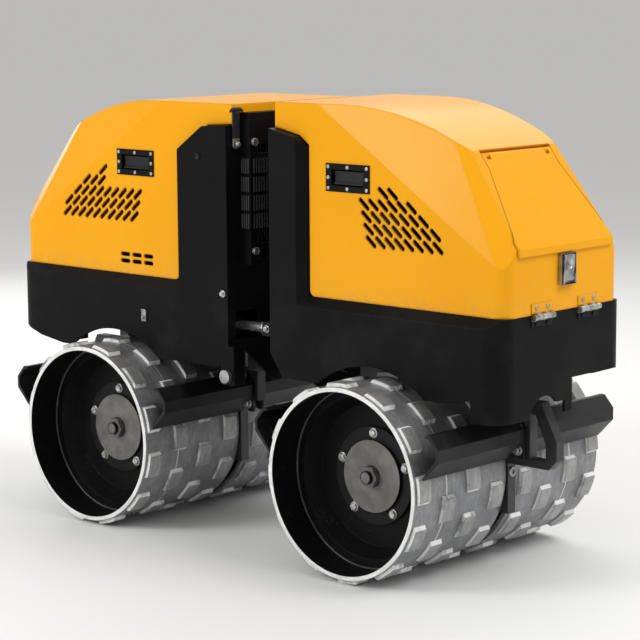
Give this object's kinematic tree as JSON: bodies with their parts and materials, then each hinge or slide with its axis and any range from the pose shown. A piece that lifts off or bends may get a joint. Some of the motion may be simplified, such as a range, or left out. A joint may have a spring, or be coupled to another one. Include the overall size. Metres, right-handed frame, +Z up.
{
  "type": "articulated trench roller",
  "caption": "Articulated tandem trench roller with padded drums, two black frames under yellow hoods, a steering joint and lashing eyes.",
  "frame": {"origin": "centre of the footprint on the ground, midway between the two end plates", "axes": "+X along the machine towards the front unit, +Y to its left, +Z up"},
  "size_m": [1.92, 0.8, 1.266],
  "materials": {
    "hood_yellow": "satin",
    "frame_black": "satin",
    "drum_steel": "worn",
    "hub_steel": "matt",
    "bolt_steel": "satin",
    "chrome_steel": "polished",
    "cast_grey": "matt",
    "machine_steel": "satin",
    "moulded_black": "matt",
    "tank_plastic": "matt",
    "core_metal": "matt"
  },
  "bodies": {
    "rear_unit": {"rear_frame": "frame_black", "rear_carrier": "frame_black", "rear_axle_housing": "cast_grey", "rear_bearings": "bolt_steel", "rear_scrapers": "frame_black", "rear_hinges": "frame_black", "engine_block": "cast_grey", "cylinder_head": "machine_steel", "hydraulic_pump": "cast_grey", "cooler": "core_metal", "cooler_guard": "frame_black", "muffler": "machine_steel", "air_filter": "moulded_black", "battery": "moulded_black"},
    "lock_pin": {"lock_pin": "chrome_steel"},
    "steering_barrel": {"steering_barrel": "frame_black"},
    "steering_rod": {"steering_rod": "chrome_steel"},
    "cooling_fan": {"cooling_fan": "moulded_black"},
    "rear_hood": {"rear_hood": "hood_yellow", "rear_hood_fittings": "moulded_black"},
    "rear_paddle_left": {"rear_paddle_left": "moulded_black"},
    "rear_paddle_right": {"rear_paddle_right": "moulded_black"},
    "rear_flap": {"rear_flap": "hood_yellow"},
    "rear_flap_latch": {"rear_flap_latch": "chrome_steel"},
    "rear_hood_hook": {"rear_hood_hook": "chrome_steel"},
    "rear_drum_left": {"rear_drum_left": "drum_steel", "rear_hub_left": "hub_steel", "rear_hub_bolts_left": "bolt_steel"},
    "rear_drum_right": {"rear_drum_right": "drum_steel", "rear_hub_right": "hub_steel", "rear_hub_bolts_right": "bolt_steel"},
    "rear_exciter_shaft": {"rear_exciter_shaft": "machine_steel"},
    "joint_yoke": {"joint_yoke": "cast_grey", "steering_pin": "chrome_steel"},
    "front_unit": {"front_frame": "frame_black", "front_carrier": "frame_black", "front_axle_housing": "cast_grey", "front_bearings": "bolt_steel", "front_scrapers": "frame_black", "front_hinges": "frame_black", "hydraulic_tank": "tank_plastic", "fuel_tank": "tank_plastic", "valve_block": "cast_grey"},
    "fuel_cap": {"fuel_cap": "moulded_black"},
    "hydraulic_cap": {"hydraulic_cap": "moulded_black"},
    "front_hood": {"front_hood": "hood_yellow", "front_hood_fittings": "moulded_black"},
    "front_paddle_left": {"front_paddle_left": "moulded_black"},
    "front_paddle_right": {"front_paddle_right": "moulded_black"},
    "front_flap": {"front_flap": "hood_yellow"},
    "front_flap_latch": {"front_flap_latch": "chrome_steel"},
    "front_hood_hook": {"front_hood_hook": "chrome_steel"},
    "front_drum_left": {"front_drum_left": "drum_steel", "front_hub_left": "hub_steel", "front_hub_bolts_left": "bolt_steel"},
    "front_drum_right": {"front_drum_right": "drum_steel", "front_hub_right": "hub_steel", "front_hub_bolts_right": "bolt_steel"},
    "front_exciter_shaft": {"front_exciter_shaft": "machine_steel"}
  },
  "joints": [
    {"name": "steer", "type": "hinge", "parent": "rear_unit", "child": "joint_yoke", "pos_m": [0.055, 0, 0.56], "axis": [0, 0, 1], "range_deg": [-26, 26]},
    {"name": "oscillate", "type": "hinge", "parent": "joint_yoke", "child": "front_unit", "pos_m": [0.138, 0, 0.56], "axis": [1, 0, 0], "range_deg": [-8, 8]},
    {"name": "steering_barrel_swing", "type": "hinge", "parent": "rear_unit", "child": "steering_barrel", "pos_m": [-0.36, -0.2, 0.622], "axis": [0, 0, 1], "range_deg": [-3.3, 3.3]},
    {"name": "steering_rod_slide", "type": "slide", "parent": "steering_barrel", "child": "steering_rod", "axis": [1, 0, 0], "range_m": [-0.0952, 0.0952]},
    {"name": "lock_pin_slide", "type": "slide", "parent": "rear_unit", "child": "lock_pin", "axis": [0, -1, 0], "range_m": [0, 0.05]},
    {"name": "cooling_fan_spin", "type": "hinge", "parent": "rear_unit", "child": "cooling_fan", "pos_m": [-0.143, 0, 0.983], "axis": [1, 0, 0], "continuous": true},
    {"name": "rear_drum_left_turn", "type": "hinge", "parent": "rear_unit", "child": "rear_drum_left", "pos_m": [-0.506, 0, 0.272], "axis": [0, 1, 0], "continuous": true},
    {"name": "rear_drum_right_turn", "type": "hinge", "parent": "rear_unit", "child": "rear_drum_right", "pos_m": [-0.506, 0, 0.272], "axis": [0, 1, 0], "continuous": true},
    {"name": "rear_exciter_turn", "type": "hinge", "parent": "rear_unit", "child": "rear_exciter_shaft", "pos_m": [-0.506, 0, 0.272], "axis": [0, 1, 0], "continuous": true},
    {"name": "rear_hood_open", "type": "hinge", "parent": "rear_unit", "child": "rear_hood", "pos_m": [-0.951, 0, 0.733], "axis": [0, -1, 0], "range_deg": [0, 55]},
    {"name": "rear_flap_open", "type": "hinge", "parent": "rear_hood", "child": "rear_flap", "pos_m": [-0.77416, 0, 1.14078], "axis": [0, 1, 0], "range_deg": [0, 75]},
    {"name": "rear_flap_latch_lift", "type": "hinge", "parent": "rear_hood", "child": "rear_flap_latch", "pos_m": [-0.953, 0, 0.821], "axis": [0, -1, 0], "range_deg": [0, 90]},
    {"name": "rear_hood_hook_swing", "type": "hinge", "parent": "rear_unit", "child": "rear_hood_hook", "pos_m": [-0.028, -0.242, 1.142], "axis": [1, 0, 0], "range_deg": [0, 40]},
    {"name": "rear_paddle_left_pull", "type": "hinge", "parent": "rear_hood", "child": "rear_paddle_left", "pos_m": [-0.43, 0.241, 1.085], "axis": [1, 0, 0], "range_deg": [0, 35]},
    {"name": "rear_paddle_right_pull", "type": "hinge", "parent": "rear_hood", "child": "rear_paddle_right", "pos_m": [-0.43, -0.241, 1.085], "axis": [-1, 0, 0], "range_deg": [0, 35]},
    {"name": "front_drum_left_turn", "type": "hinge", "parent": "front_unit", "child": "front_drum_left", "pos_m": [0.506, 0, 0.272], "axis": [0, 1, 0], "continuous": true},
    {"name": "front_drum_right_turn", "type": "hinge", "parent": "front_unit", "child": "front_drum_right", "pos_m": [0.506, 0, 0.272], "axis": [0, 1, 0], "continuous": true},
    {"name": "front_exciter_turn", "type": "hinge", "parent": "front_unit", "child": "front_exciter_shaft", "pos_m": [0.506, 0, 0.272], "axis": [0, 1, 0], "continuous": true},
    {"name": "front_hood_open", "type": "hinge", "parent": "front_unit", "child": "front_hood", "pos_m": [0.951, 0, 0.733], "axis": [0, 1, 0], "range_deg": [0, 55]},
    {"name": "front_flap_open", "type": "hinge", "parent": "front_hood", "child": "front_flap", "pos_m": [0.77416, 0, 1.14078], "axis": [0, -1, 0], "range_deg": [0, 75]},
    {"name": "front_flap_latch_lift", "type": "hinge", "parent": "front_hood", "child": "front_flap_latch", "pos_m": [0.953, 0, 0.821], "axis": [0, 1, 0], "range_deg": [0, 90]},
    {"name": "front_hood_hook_swing", "type": "hinge", "parent": "front_unit", "child": "front_hood_hook", "pos_m": [0.138, 0.242, 1.142], "axis": [-1, 0, 0], "range_deg": [0, 40]},
    {"name": "front_paddle_left_pull", "type": "hinge", "parent": "front_hood", "child": "front_paddle_left", "pos_m": [0.406, 0.241, 1.085], "axis": [1, 0, 0], "range_deg": [0, 35]},
    {"name": "front_paddle_right_pull", "type": "hinge", "parent": "front_hood", "child": "front_paddle_right", "pos_m": [0.406, -0.241, 1.085], "axis": [-1, 0, 0], "range_deg": [0, 35]},
    {"name": "fuel_cap_turn", "type": "hinge", "parent": "front_unit", "child": "fuel_cap", "pos_m": [0.426, 0, 1], "axis": [0, 0, 1], "range_deg": [0, 90]},
    {"name": "hydraulic_cap_turn", "type": "hinge", "parent": "front_unit", "child": "hydraulic_cap", "pos_m": [0.7525, 0, 0.9], "axis": [0, 0, 1], "range_deg": [0, 90]}
  ],
  "couplings": [
    {"joint": "steering_barrel_swing", "follows": "steer", "ratio": 0.1189},
    {"joint": "steering_rod_slide", "follows": "steer", "m_per_rad": 0.208}
  ]
}
